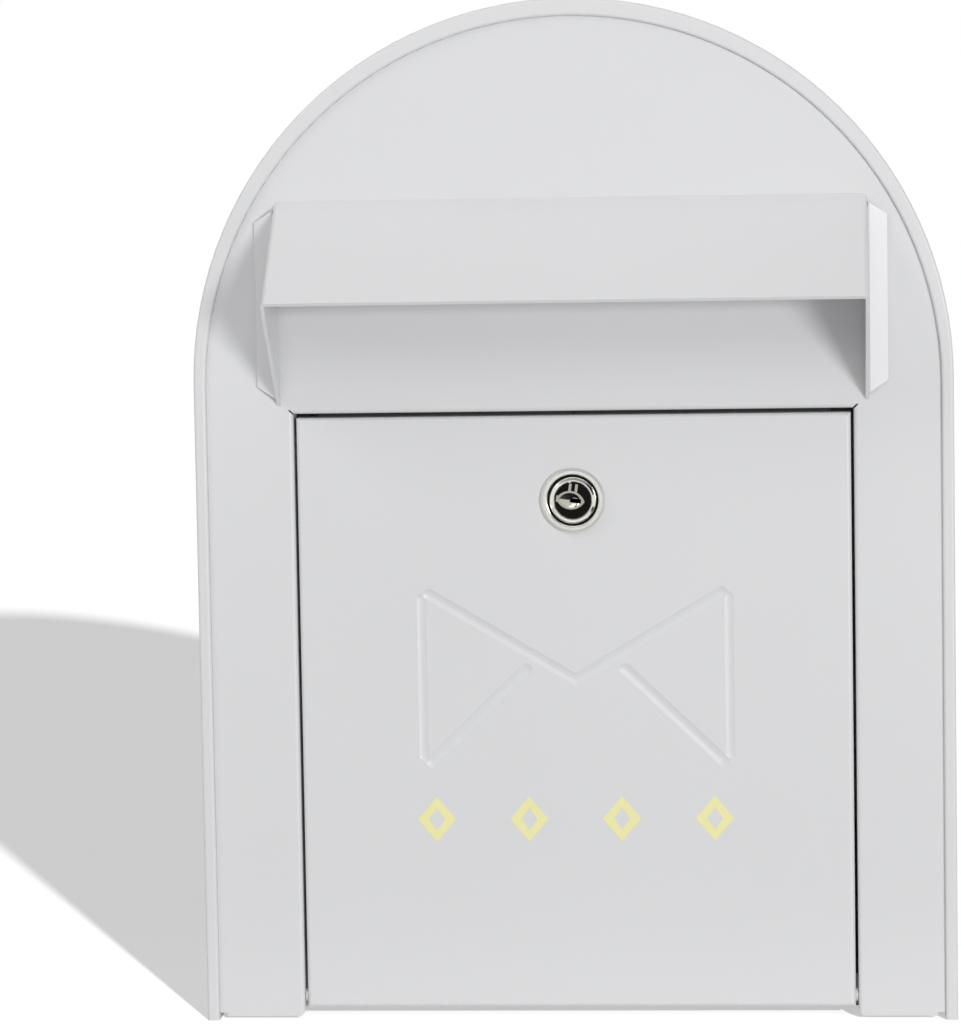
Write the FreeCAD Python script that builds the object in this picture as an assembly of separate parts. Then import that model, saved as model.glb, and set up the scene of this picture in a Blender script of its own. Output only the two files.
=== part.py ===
import FreeCAD, Part
import math
import os

# Wall mounted post box in bent and powder coated sheet steel, with a drop-down door and a cam lock.
# Millimetres. +X is right as seen from the front, +Y points into the wall, +Z is up.
# The origin is on the wall plane, in the middle of the four wall screw holes.

V = FreeCAD.Vector
X_AXIS = V(1, 0, 0)
Y_AXIS = V(0, 1, 0)
Z_AXIS = V(0, 0, 1)
NEAR = 0.01
OVERSHOOT = 5.0

# Wall screw holes in the back plate
SCREW_SPACING_X = 180.0
SCREW_SPACING_Z = 180.0
SCREW_HOLE_RADIUS = 3.5
SCREW_HEIGHT = 135.0

# Casing: one sheet bent over the arch, its front edge folded inward as a flat rim, which is wider at the top
CASE_WIDTH = 312.0
CASE_HEIGHT = 422.0
CASE_DEPTH = 148.0
SHELL_SHEET = 1.0
RIM_WIDTH = 5.0
RIM_ARCH_DROP = 2.2
RIM_BEND = 1.2
RIM_RETURN = 12.0

# Front panel, set inside the rim
FACE_SET_BACK = 2.0
FACE_SHEET = 1.2
FACE_BEND = 1.8
FACE_CLEARANCE = 0.05
LEG_LIFT = 1.4
LEG_CORNER = 3.0
LEG_NOTCH_WIDTH = 3.2
LEG_NOTCH_HEIGHT = 1.6

# Letter slot in the front panel, behind the rain hood, counted down from the casing's top
SLOT_BELOW_TOP = 86.0
SLOT_HEIGHT = 33.0
SLOT_CORNER = 3.0

# Door opening in the front panel, between the legs and under the slot
LEG_WIDTH = 40.8
OPENING_BELOW_SLOT = 49.5
OPENING_SIDE_FLANGE = 13.0
OPENING_TOP_FLANGE = 22.0
RELIEF_WIDTH = 0.7
RELIEF_LENGTH = 2.4
SLOT_INSET = 0.2

# Rain hood, placed by the slot and by the door opening
HOOD_BESIDE_SLOT = 5.1
HOOD_ABOVE_SLOT = 5.0
HOOD_EDGE_BELOW_SLOT = 1.5
HOOD_ABOVE_OPENING = 3.4
HOOD_SHEET = 1.5
HOOD_BEND = 2.2
HOOD_DEPTH = 50.0
HOOD_LIP = 8.5
HOOD_FLANGE = 7.5
HOOD_FLANGE_TILT = 12.0
HOOD_FLANGE_BEND = 2.5
HOOD_FLANGE_START = 6.5
HOOD_FLANGE_FOOT = 3.0
HOOD_FLANGE_HEAD = 3.5
HOOD_FLANGE_SLANT = 5.0

# Letter chute inside, under the slot
CHUTE_BESIDE_SLOT = 3.0
CHUTE_SHEET = 1.0
CHUTE_BEND = 2.0
CHUTE_LAND = 9.0
CHUTE_SLOT_GAP = 1.5
CHUTE_REACH = 42.0
CHUTE_FALL = 14.0
CHUTE_LIP = 16.0

# Back plate
BACK_SHEET = 1.0
BACK_BEND = 1.8
BACK_FLANGE = 12.0

# Floor tray
FLOOR_SHEET = 1.0
FLOOR_BEND = 1.8
FLOOR_WALL = 14.0
FLOOR_SET_BACK = 26.0
FLOOR_CLEARANCE = 0.2
DRAIN_RADIUS = 2.5
DRAIN_INSET = 34.0

# Door: a pan hinged along its bottom edge
DOOR_SIDE_GAP = 1.2
DOOR_TOP_GAP = 1.8
DOOR_BOTTOM = 5.2
DOOR_DEPTH = 10.0
DOOR_SHEET = 1.2
DOOR_BEND = 1.8

# Envelope figure pressed into the door, counted down from the door's top
FIGURE_HALF_WIDTH = 63.4
FIGURE_TOP = 73.7
FIGURE_BOTTOM = 143.2
FIGURE_SIDE_TOP = 75.2
FIGURE_SIDE_BOTTOM = 140.7
FIGURE_POINT = 109.7
FIGURE_ARM_START_X = 60.5
FIGURE_SEAM_START_X = 60.0
FIGURE_SEAM_END_X = 20.5
FIGURE_SEAM_END = 105.2
ARM_WIDTH = 5.4
ARM_DEPTH = 0.8
SIDE_GROOVE_WIDTH = 4.0
SIDE_GROOVE_DEPTH = 0.5

# Hinge pins and their bushes
PIN_RADIUS = 1.5
PIN_HEAD_RADIUS = 3.0
PIN_HEAD_LENGTH = 1.2
PIN_END_CHAMFER = 0.4
PIN_DEPTH = 4.5
PIN_ABOVE_DOOR_BOTTOM = 4.4
PIN_FIT = 0.05
PIN_BEYOND_BUSH = 1.5
BUSH_WALL = 1.1
BUSH_LENGTH = 5.0
BUSH_COLLAR_STEP = 0.25
BUSH_COLLAR_GAP = 0.2
BUSH_LIP = 0.8

# Cam lock, counted outwards from the barrel
LOCK_BELOW_DOOR_TOP = 34.8
LOCK_BARREL_RADIUS = 9.5
LOCK_BARREL_WALL = 1.95
LOCK_BARREL_END = 14.0
LOCK_BARREL_BEVEL_WIDTH = 1.1
LOCK_BARREL_BEVEL_DEPTH = 0.8
LOCK_FLAT_DEPTH = 1.0
LOCK_GROOVE_WIDTH = 1.1
LOCK_GROOVE_DEPTH = 2.2
LOCK_RIM_WIDTH = 1.6
LOCK_FLANGE_BEVEL = 1.05
LOCK_FLANGE_HEIGHT = 3.2
LOCK_HOLE_GAP = 0.2
LOCK_EDGE = 0.4
RING_THICKNESS = 1.1
RING_GAP = 0.03
PLUG_STEM_STEP = 1.1
PLUG_FIT = 0.05
PLUG_RECESS = 0.7
PLUG_HEAD_LENGTH = 4.5
KEYWAY_LENGTH = 4.6
KEYWAY_WIDTH = 1.8
KEYWAY_SHIFT = 1.1
KEYWAY_TURN = 8.0
KEYWAY_DEPTH = 11.0
KEYWAY_BORDER = 0.3
SHIELD_LEFT = 6.9
SHIELD_RIGHT = 4.9
SHIELD_WIDTH = 7.6
SHIELD_THICKNESS = 0.65
SHIELD_BORDER = 0.8
SHIELD_DISH = 0.45
SHIELD_FOOT_LENGTH = 1.8
SHIELD_FOOT_WIDTH = 2.6
SHIELD_EAR_WIDTH = 1.1
SHIELD_EAR_SPREAD = 2.6
SHIELD_EAR_SHIFT = -0.5
SHIELD_EAR_TOP = 6.8
WASHER_WIDTH = 3.7
WASHER_THICKNESS = 0.9
WASHER_TEETH = 12
WASHER_TOOTH_DEPTH = 0.9
NUT_ACROSS_FLATS = 23.0
NUT_THICKNESS = 4.5
NUT_BEVEL = 1.1

# Cam, keeper and buffers
CAM_GAP = 0.2
CAM_THICKNESS = 2.0
CAM_WIDTH = 13.0
CAM_LENGTH = 31.0
CAM_TIP_RADIUS = 3.0
TANG_SIDE = 7.0
TANG_FIT = 0.05
CAM_WASHER_RADIUS = 7.0
CAM_WASHER_THICKNESS = 0.8
SCREW_HEAD_RADIUS = 4.2
SCREW_HEAD_HEIGHT = 2.6
SCREW_RADIUS = 2.0
SCREW_LENGTH = 6.5
SCREW_DRIVE = 2.8
SCREW_DRIVE_DEPTH = 1.4
KEEPER_INSET = 9.0
KEEPER_SHEET = 1.5
KEEPER_BEND = 2.4
KEEPER_DROP = 12.5
KEEPER_GAP_TO_DOOR = 2.0
BUFFER_GAP = 0.2
BUFFER_EDGE = 0.5
BUFFER_TOP_GAP = 0.3
BUFFER_JOINT = 0.2

# Places worked out from the sizes above
BASE_Z = -SCREW_HEIGHT
RIM_Y = -CASE_DEPTH
FACE_Y = RIM_Y + FACE_SET_BACK
HALF_WIDTH = CASE_WIDTH / 2
SPRING_Z = BASE_Z + CASE_HEIGHT - HALF_WIDTH
FACE_SPRING_Z = SPRING_Z - RIM_ARCH_DROP
HALF_OPENING = HALF_WIDTH - LEG_WIDTH
HALF_SLOT = HALF_OPENING - SLOT_INSET
HALF_KEEPER = HALF_OPENING - KEEPER_INSET
SLOT_TOP_Z = BASE_Z + CASE_HEIGHT - SLOT_BELOW_TOP
SLOT_BOTTOM_Z = SLOT_TOP_Z - SLOT_HEIGHT
OPENING_TOP_Z = SLOT_BOTTOM_Z - OPENING_BELOW_SLOT
HALF_DOOR = HALF_OPENING - DOOR_SIDE_GAP
DOOR_BOTTOM_Z = BASE_Z + DOOR_BOTTOM
DOOR_TOP_Z = OPENING_TOP_Z - DOOR_TOP_GAP
PIN_Y = FACE_Y + PIN_DEPTH
PIN_Z = DOOR_BOTTOM_Z + PIN_ABOVE_DOOR_BOTTOM
LOCK_Z = DOOR_TOP_Z - LOCK_BELOW_DOOR_TOP
CAM_Y = FACE_Y + LOCK_BARREL_END + CAM_GAP
CAM_SCREW_Y = CAM_Y + CAM_THICKNESS + CAM_WASHER_THICKNESS
KEEPER_LIP_Y = FACE_Y + DOOR_DEPTH + KEEPER_GAP_TO_DOOR
INNER_HALF_WIDTH = HALF_WIDTH - SHELL_SHEET
RIM_HALF_WIDTH = HALF_WIDTH - RIM_WIDTH
FACE_HALF_WIDTH = RIM_HALF_WIDTH - FACE_CLEARANCE
HOOD_HALF_WIDTH = HALF_SLOT + HOOD_BESIDE_SLOT + HOOD_SHEET
BUSH_RADIUS = PIN_RADIUS + PIN_FIT + BUSH_WALL
LOCK_GROOVE_OUTER = LOCK_BARREL_RADIUS + LOCK_GROOVE_WIDTH
LOCK_BORE = LOCK_BARREL_RADIUS - LOCK_BARREL_WALL
LOCK_STEM_BORE = LOCK_BORE - PLUG_STEM_STEP
PLUG_RADIUS = LOCK_BORE - PLUG_FIT
PLUG_STEM_RADIUS = LOCK_STEM_BORE - PLUG_FIT
PLUG_FRONT = PLUG_RECESS - LOCK_FLANGE_HEIGHT


def box(x0, x1, y0, y1, z0, z1):
    """Box between two corners."""
    return Part.makeBox(x1 - x0, y1 - y0, z1 - z0, V(x0, y0, z0))


def cylinder(radius, start, end):
    """Cylinder between two points."""
    axis = end - start
    return Part.makeCylinder(radius, axis.Length, start, axis)


def wire_of(points):
    """Closed wire through points; a list of three points inside it is an arc."""
    edges = []
    last = points[0]
    for item in points[1:] + [points[0]]:
        if isinstance(item, list):
            middle, end = item
            edges.append(Part.Arc(last, middle, end).toShape())
            last = end
        else:
            if last.distanceToPoint(item) > NEAR / 10:
                edges.append(Part.makeLine(last, item))
            last = item
    return Part.Wire(edges)


def mirrored(shape):
    """The same shape on the other side of the box."""
    return shape.mirror(V(0, 0, 0), X_AXIS)


def round_edges(solid, radius, chosen):
    """Fillets the edges that the test picks."""
    return solid.makeFillet(radius, [edge for edge in solid.Edges if chosen(edge)])


def edge_lies(edge, axis, place):
    """True for an edge that lies in the plane where the named axis has that value."""
    ends = [getattr(vertex.Point, axis) for vertex in edge.Vertexes]
    middle = getattr(edge.CenterOfMass, axis)
    return all(abs(value - place) < NEAR for value in ends + [middle])


def runs_along(edge, direction):
    """True for a straight edge parallel to the direction."""
    if not isinstance(edge.Curve, Part.Line):
        return False
    return abs(edge.Curve.Direction.dot(V(direction).normalize())) > 1 - NEAR / 10


def turned(points):
    """Solid turned about the lock's axis from (radius, depth behind the door's face) points."""
    outline = Part.makePolygon([V(radius, FACE_Y + depth, LOCK_Z) for radius, depth in points + points[:1]])
    return Part.Face(outline).revolve(V(0, 0, LOCK_Z), Y_AXIS, 360)


def hexagon(across_flats, start, length):
    """Hexagonal bar on the lock's axis, with corners at its top and bottom."""
    corner = across_flats / 2 / math.cos(math.pi / 6)
    angles = [step * math.pi / 3 for step in range(7)]
    points = [V(corner * math.sin(angle), start, LOCK_Z + corner * math.cos(angle)) for angle in angles]
    return Part.Face(Part.makePolygon(points)).extrude(V(0, length, 0))


def arched_plate(half_width, spring, bottom, y_from, y_to):
    """Solid with straight sides under a half-round top that starts at the height named spring."""
    outline = wire_of([
        V(-half_width, y_from, bottom),
        V(-half_width, y_from, spring),
        [V(0, y_from, spring + half_width), V(half_width, y_from, spring)],
        V(half_width, y_from, bottom),
    ])
    return Part.Face(outline).extrude(V(0, y_to - y_from, 0))


def arched_pan(half_width, spring, bottom, y_plate, y_rim, sheet, bend):
    """Arched sheet whose edge is bent at right angles over sides and top; the bottom is a cut edge."""
    way = math.copysign(1, y_rim - y_plate)

    def bent(edge, y, low):
        return edge_lies(edge, "y", y) and not edge_lies(edge, "z", low)

    outer = arched_plate(half_width, spring, bottom, y_plate, y_rim)
    outer = round_edges(outer, bend, lambda edge: bent(edge, y_plate, bottom))
    inner_y = y_plate + way * sheet
    inner_low = bottom - OVERSHOOT
    inner = arched_plate(half_width - sheet, spring, inner_low, inner_y, y_rim + way * OVERSHOOT)
    inner = round_edges(inner, bend - sheet, lambda edge: bent(edge, inner_y, inner_low))
    return outer.cut(inner)


def bend_section(start, flat, turn, length, sheet, outer):
    """Section of a sheet bent at right angles: from a tangent line at start, round the bend and along.

    start is the point on the outer skin where the bend begins, flat the direction from there towards
    the corner, turn the direction after the bend, length the reach past start along turn."""
    centre = start + turn * outer
    inner = outer - sheet
    half = math.sqrt(0.5)

    def on_bend(radius):
        return centre + (flat - turn) * (radius * half)

    return wire_of([
        start,
        [on_bend(outer), centre + flat * outer],
        centre + flat * outer + turn * (length - outer),
        centre + flat * inner + turn * (length - outer),
        centre + flat * inner,
        [on_bend(inner), start + turn * sheet],
    ])


def shell():
    """Casing sheet: sides and arch in one strip, its front edge folded inward and then back as a flat rim."""
    def window_edge(edge):
        if not edge_lies(edge, "y", RIM_Y) or edge_lies(edge, "z", BASE_Z):
            return False
        out = edge.Curve.Radius if isinstance(edge.Curve, Part.Circle) else abs(edge.CenterOfMass.x)
        return abs(out - RIM_HALF_WIDTH) < NEAR

    strip = arched_pan(HALF_WIDTH, SPRING_Z, BASE_Z, RIM_Y, 0, SHELL_SHEET, RIM_BEND)
    folded = RIM_Y + RIM_RETURN
    fold = arched_plate(RIM_HALF_WIDTH + SHELL_SHEET, FACE_SPRING_Z, BASE_Z, RIM_Y + SHELL_SHEET, folded)
    low = BASE_Z - OVERSHOOT
    window = arched_plate(RIM_HALF_WIDTH, FACE_SPRING_Z, low, RIM_Y - OVERSHOOT, folded + OVERSHOOT)
    return round_edges(strip.fuse(fold).cut(window).removeSplitter(), RIM_BEND, window_edge)


def mitre_region():
    """The part of the door opening's edge that belongs to its top, between the two 45 degree mitre lines."""
    far = OPENING_TOP_FLANGE
    y = FACE_Y - OVERSHOOT
    outline = wire_of([
        V(HALF_OPENING + far, y, OPENING_TOP_Z + far),
        V(HALF_OPENING - far, y, OPENING_TOP_Z - far),
        V(far - HALF_OPENING, y, OPENING_TOP_Z - far),
        V(-far - HALF_OPENING, y, OPENING_TOP_Z + far),
    ])
    return Part.Face(outline).extrude(V(0, OPENING_TOP_FLANGE + 2 * OVERSHOOT, 0))


def opening_side_strip():
    """Right-hand edge of the door opening, bent back from the front panel."""
    start = V(HALF_OPENING + FACE_BEND, FACE_Y, BASE_Z + LEG_LIFT)
    section = bend_section(start, -X_AXIS, Y_AXIS, OPENING_SIDE_FLANGE, FACE_SHEET, FACE_BEND)
    strip = Part.Face(section).extrude(V(0, 0, OPENING_TOP_Z + FACE_BEND - start.z))
    low_corner = box(HALF_OPENING - OVERSHOOT, start.x, start.y - OVERSHOOT, PIN_Y + OPENING_SIDE_FLANGE,
                     start.z - OVERSHOOT, start.z + LEG_CORNER)
    rounding = cylinder(LEG_CORNER, V(HALF_OPENING + LEG_CORNER, start.y - OVERSHOOT, start.z + LEG_CORNER),
                        V(HALF_OPENING + LEG_CORNER, PIN_Y + OPENING_SIDE_FLANGE, start.z + LEG_CORNER))
    strip = strip.cut(low_corner.cut(rounding))
    hole = cylinder(PIN_RADIUS, V(HALF_DOOR, PIN_Y, PIN_Z), V(FACE_HALF_WIDTH, PIN_Y, PIN_Z))
    return strip.cut(hole).cut(mitre_region())


def opening_top_strip():
    """Top edge of the door opening, bent back deeper than the sides because it carries the keeper."""
    reach = HALF_OPENING + FACE_BEND
    start = V(-reach, FACE_Y, OPENING_TOP_Z + FACE_BEND)
    section = bend_section(start, -Z_AXIS, Y_AXIS, OPENING_TOP_FLANGE, FACE_SHEET, FACE_BEND)
    return Part.Face(section).extrude(V(2 * reach, 0, 0)).common(mitre_region())


def relief_slit():
    """Open mitre at the opening's right-hand top corner, which runs on into the face as a short slit."""
    corner = V(HALF_OPENING, FACE_Y - OVERSHOOT, OPENING_TOP_Z)
    along = V(1, 0, 1).normalize()
    across = V(-1, 0, 1).normalize() * (RELIEF_WIDTH / 2)
    end = corner + along * (RELIEF_LENGTH - RELIEF_WIDTH / 2)
    back = corner - along * OVERSHOOT
    outline = wire_of([
        back - across,
        end - across,
        [end + along * (RELIEF_WIDTH / 2), end + across],
        back + across,
    ])
    return Part.Face(outline).extrude(V(0, OPENING_TOP_FLANGE + 2 * OVERSHOOT, 0))


def front_panel():
    """Arched front sheet, welded into the rim, with the letter slot and the opening's bent edges."""
    low = BASE_Z + LEG_LIFT
    y0, y1 = FACE_Y - OVERSHOOT, FACE_Y + OPENING_TOP_FLANGE
    panel = arched_plate(FACE_HALF_WIDTH, FACE_SPRING_Z, low, FACE_Y, FACE_Y + FACE_SHEET)
    reach = HALF_OPENING + FACE_BEND
    panel = panel.cut(box(-reach, reach, y0, y1, low - OVERSHOOT, OPENING_TOP_Z + FACE_BEND))
    slot = box(-HALF_SLOT, HALF_SLOT, y0, y1, SLOT_BOTTOM_Z, SLOT_TOP_Z)
    slot = round_edges(slot, SLOT_CORNER, lambda edge: runs_along(edge, Y_AXIS))
    side = opening_side_strip()
    panel = panel.cut(slot).fuse([side, mirrored(side), opening_top_strip()])
    slit = relief_slit()
    notch = box(FACE_HALF_WIDTH - LEG_NOTCH_WIDTH, FACE_HALF_WIDTH + OVERSHOOT, y0, y1,
                low - OVERSHOOT, low + LEG_NOTCH_HEIGHT)
    for gap in (slit, mirrored(slit), notch, mirrored(notch)):
        panel = panel.cut(gap)
    return panel.removeSplitter()


def back_plate():
    """Arched back sheet with its edge bent forward inside the casing, and four wall screw holes."""
    plate = arched_pan(INNER_HALF_WIDTH, SPRING_Z, BASE_Z, 0, -BACK_FLANGE, BACK_SHEET, BACK_BEND)
    for x in (-SCREW_SPACING_X / 2, SCREW_SPACING_X / 2):
        for z in (-SCREW_SPACING_Z / 2, SCREW_SPACING_Z / 2):
            plate = plate.cut(cylinder(SCREW_HOLE_RADIUS, V(x, -BACK_FLANGE, z), V(x, OVERSHOOT, z)))
    return plate


def floor_tray():
    """Floor sheet with its sides and front turned up, and four drain holes."""
    front = FACE_Y + FLOOR_SET_BACK
    back = -BACK_SHEET
    low, high = BASE_Z, BASE_Z + FLOOR_WALL
    half = INNER_HALF_WIDTH

    def bent(edge, y, x, z):
        at_side = edge_lies(edge, "x", x) or edge_lies(edge, "x", -x)
        return edge_lies(edge, "z", z) and (at_side or edge_lies(edge, "y", y))

    outer = box(-half, half, front, back, low, high)
    outer = round_edges(outer, FLOOR_BEND, lambda edge: bent(edge, front, half, low))
    inner_half, inner_front, inner_low = half - FLOOR_SHEET, front + FLOOR_SHEET, low + FLOOR_SHEET
    inner = box(-inner_half, inner_half, inner_front, back + OVERSHOOT, inner_low, high + OVERSHOOT)
    inner_bend = FLOOR_BEND - FLOOR_SHEET
    inner = round_edges(inner, inner_bend, lambda edge: bent(edge, inner_front, inner_half, inner_low))
    tray = outer.cut(inner)
    corner = box(half - FLOOR_BEND, half + OVERSHOOT, -BACK_FLANGE - FLOOR_CLEARANCE, OVERSHOOT,
                 low - OVERSHOOT, high + OVERSHOOT)
    tray = tray.cut(corner).cut(mirrored(corner))
    for x in (-half + DRAIN_INSET, half - DRAIN_INSET):
        for y in (front + DRAIN_INSET, back - DRAIN_INSET):
            tray = tray.cut(cylinder(DRAIN_RADIUS, V(x, y, low - OVERSHOOT), V(x, y, high)))
    return tray


def hood_flange(start_y, low, high):
    """Right-hand flange of the hood: it slopes out from the cheek's bend and rests on its outer edge.

    start_y is where it leaves the cheek, low and high are where its slanted ends meet the cheek."""
    half = HOOD_HALF_WIDTH
    cheek = half - HOOD_SHEET
    tilt = math.radians(HOOD_FLANGE_TILT)
    edge = V(half + HOOD_FLANGE, FACE_Y, low)
    front = edge + V(HOOD_SHEET * math.sin(tilt), -HOOD_SHEET * math.cos(tilt), 0)
    back_corner = V(cheek, FACE_Y - (edge.x - cheek) * math.tan(tilt), low)
    front_corner = V(half, front.y - (front.x - half) * math.tan(tilt), low)
    section = wire_of([V(cheek, start_y, low), back_corner, edge, front, front_corner, V(half, start_y, low)])
    flange = Part.Face(section).extrude(V(0, 0, high - low))

    def upright(item, corner):
        return runs_along(item, Z_AXIS) and edge_lies(item, "x", corner.x) and edge_lies(item, "y", corner.y)

    flange = round_edges(flange, HOOD_FLANGE_BEND, lambda item: upright(item, back_corner))
    flange = round_edges(flange, HOOD_FLANGE_BEND - HOOD_SHEET, lambda item: upright(item, front_corner))
    y = start_y - OVERSHOOT
    leaf = wire_of([
        V(cheek, y, low),
        V(half, y, low),
        V(front.x, y, low + HOOD_FLANGE_SLANT),
        V(front.x, y, high - HOOD_FLANGE_SLANT),
        V(half, y, high),
        V(cheek, y, high),
    ])
    return flange.common(Part.Face(leaf).extrude(V(0, FACE_Y + OVERSHOOT - y, 0)))


def rain_hood():
    """Hood folded from one sheet: sloping roof, two cheeks, and flanges that rest on the front panel."""
    half = HOOD_HALF_WIDTH
    root = V(0, FACE_Y, SLOT_TOP_Z + HOOD_ABOVE_SLOT)
    edge = V(0, FACE_Y - HOOD_DEPTH, SLOT_BOTTOM_Z - HOOD_EDGE_BELOW_SLOT)
    foot = V(0, FACE_Y, OPENING_TOP_Z + HOOD_ABOVE_OPENING)
    slope = (edge - root).normalize()
    under = X_AXIS.cross(slope).normalize()
    lip = edge + under * HOOD_LIP

    def prism(points, half_width):
        return Part.Face(wire_of(points)).extrude(V(2 * half_width, 0, 0)).translated(V(-half_width, 0, 0))

    def roof_edge(item):
        return runs_along(item, slope)

    outline = [root, edge, lip, foot]
    outer = round_edges(prism(outline, half), HOOD_BEND, roof_edge)
    roof_back = root + under * HOOD_SHEET - slope * OVERSHOOT
    roof_front = edge + under * HOOD_SHEET + slope * OVERSHOOT
    below = foot.z - OVERSHOOT
    corner_x = half - HOOD_SHEET
    hollow = prism([roof_back, roof_front, V(0, roof_front.y, below), V(0, roof_back.y, below)], corner_x)
    hollow = round_edges(hollow, HOOD_BEND - HOOD_SHEET, roof_edge)
    hood = outer.cut(hollow)

    low, high = foot.z + HOOD_FLANGE_FOOT, root.z - HOOD_FLANGE_HEAD
    start_y = FACE_Y - HOOD_FLANGE_START
    behind = box(corner_x, half + OVERSHOOT, start_y, FACE_Y + OVERSHOOT, low, high)
    beside = box(half, half + HOOD_FLANGE + OVERSHOOT, start_y, FACE_Y, low, high)
    beside = beside.common(prism(outline, half + HOOD_FLANGE + OVERSHOOT))
    flange = hood_flange(start_y, low, high).common(outer.fuse(beside))
    hood = hood.cut(behind).cut(mirrored(behind))
    return hood.fuse([flange, mirrored(flange)]).removeSplitter()


def letter_chute():
    """Bent sheet behind the slot that leads letters down and back and keeps hands out."""
    half = HALF_SLOT + CHUTE_BESIDE_SLOT
    top = V(-half, FACE_Y + FACE_SHEET, SLOT_BOTTOM_Z - CHUTE_SLOT_GAP)
    knee = top + V(0, CHUTE_REACH, -CHUTE_FALL)
    run = knee - top
    drop = CHUTE_SHEET * run.Length / CHUTE_REACH
    steepness = CHUTE_FALL / CHUTE_REACH
    under_top = top + V(0, CHUTE_SHEET, -CHUTE_SHEET * steepness - drop)
    under_knee = knee + V(0, -CHUTE_SHEET, CHUTE_SHEET * steepness - drop)
    outline = wire_of([
        top - Z_AXIS * CHUTE_LAND,
        top,
        knee,
        knee - Z_AXIS * CHUTE_LIP,
        V(knee.x, under_knee.y, knee.z - CHUTE_LIP),
        under_knee,
        under_top,
        V(top.x, under_top.y, top.z - CHUTE_LAND),
    ])
    chute = Part.Face(outline).extrude(V(2 * half, 0, 0))

    def near(item, point):
        middle = item.CenterOfMass
        return runs_along(item, X_AXIS) and V(point.x, middle.y, middle.z).distanceToPoint(point) < NEAR

    chute = round_edges(chute, CHUTE_BEND, lambda item: near(item, top) or near(item, knee))
    inner_bend = CHUTE_BEND - CHUTE_SHEET
    return round_edges(chute, inner_bend, lambda item: near(item, under_top) or near(item, under_knee))


def groove(start, end, width, depth):
    """Groove pressed into the door's front, round in section and at its ends.

    start and end are its (x, distance below the door's top) places."""
    radius = (width * width / 4 + depth * depth) / (2 * depth)
    y = FACE_Y + depth - radius
    a = V(start[0], y, DOOR_TOP_Z - start[1])
    b = V(end[0], y, DOOR_TOP_Z - end[1])
    bar = cylinder(radius, a, b).fuse([Part.makeSphere(radius, a), Part.makeSphere(radius, b)])
    sunk = box(-HALF_DOOR, HALF_DOOR, FACE_Y, FACE_Y + depth, DOOR_BOTTOM_Z, DOOR_TOP_Z)
    return bar.common(sunk)


def envelope_grooves():
    """Envelope figure: two upright sides, the flap's two arms and the two lower seams."""
    point = (0, FIGURE_POINT)
    grooves = []
    for side in (-1, 1):
        x = side * FIGURE_HALF_WIDTH
        low, high = (x, FIGURE_SIDE_BOTTOM), (x, FIGURE_SIDE_TOP)
        grooves.append(groove(low, high, SIDE_GROOVE_WIDTH, SIDE_GROOVE_DEPTH))
        grooves.append(groove((side * FIGURE_ARM_START_X, FIGURE_TOP), point, ARM_WIDTH, ARM_DEPTH))
        seam_end = (side * FIGURE_SEAM_END_X, FIGURE_SEAM_END)
        grooves.append(groove((side * FIGURE_SEAM_START_X, FIGURE_BOTTOM), seam_end, ARM_WIDTH, ARM_DEPTH))
    return grooves


def lock_hole():
    """Double-D hole for the lock's flatted barrel."""
    y0, y1 = FACE_Y - OVERSHOOT, FACE_Y + DOOR_DEPTH
    radius = LOCK_BARREL_RADIUS + LOCK_HOLE_GAP
    flat = radius - LOCK_FLAT_DEPTH
    bore = cylinder(radius, V(0, y0, LOCK_Z), V(0, y1, LOCK_Z))
    return bore.common(box(-radius, radius, y0, y1, LOCK_Z - flat, LOCK_Z + flat))


def door_panel():
    """Door sheet bent back on all four sides, with the pressed figure, lock hole and bush holes."""
    def bent(edge, y):
        return edge_lies(edge, "y", y)

    back = FACE_Y + DOOR_DEPTH
    outer = box(-HALF_DOOR, HALF_DOOR, FACE_Y, back, DOOR_BOTTOM_Z, DOOR_TOP_Z)
    outer = round_edges(outer, DOOR_BEND, lambda edge: bent(edge, FACE_Y))
    inner_half = HALF_DOOR - DOOR_SHEET
    inner_y = FACE_Y + DOOR_SHEET
    inner = box(-inner_half, inner_half, inner_y, back + OVERSHOOT, DOOR_BOTTOM_Z + DOOR_SHEET,
                DOOR_TOP_Z - DOOR_SHEET)
    inner = round_edges(inner, DOOR_BEND - DOOR_SHEET, lambda edge: bent(edge, inner_y))
    door = outer.cut(inner)
    for shape in envelope_grooves():
        door = door.fuse(shape.translated(V(0, DOOR_SHEET, 0)))
    for shape in envelope_grooves():
        door = door.cut(shape)
    door = door.cut(lock_hole())
    bush_hole = cylinder(BUSH_RADIUS, V(inner_half - OVERSHOOT, PIN_Y, PIN_Z), V(HALF_OPENING, PIN_Y, PIN_Z))
    return door.cut(bush_hole).cut(mirrored(bush_hole))


def hinge_pin():
    """Right-hand pin, staked in the opening's bent edge, with its head inside the leg."""
    seat = V(HALF_OPENING + FACE_SHEET, PIN_Y, PIN_Z)
    end = V(HALF_DOOR - BUSH_LENGTH - PIN_BEYOND_BUSH, PIN_Y, PIN_Z)
    shank = cylinder(PIN_RADIUS, end, seat)
    shank = shank.makeChamfer(PIN_END_CHAMFER, [edge for edge in shank.Edges if edge_lies(edge, "x", end.x)])
    head = cylinder(PIN_HEAD_RADIUS, seat, seat + X_AXIS * PIN_HEAD_LENGTH)
    outer = seat.x + PIN_HEAD_LENGTH
    head = head.makeChamfer(PIN_END_CHAMFER, [edge for edge in head.Edges if edge_lies(edge, "x", outer)])
    return shank.fuse(head).removeSplitter()


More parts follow.
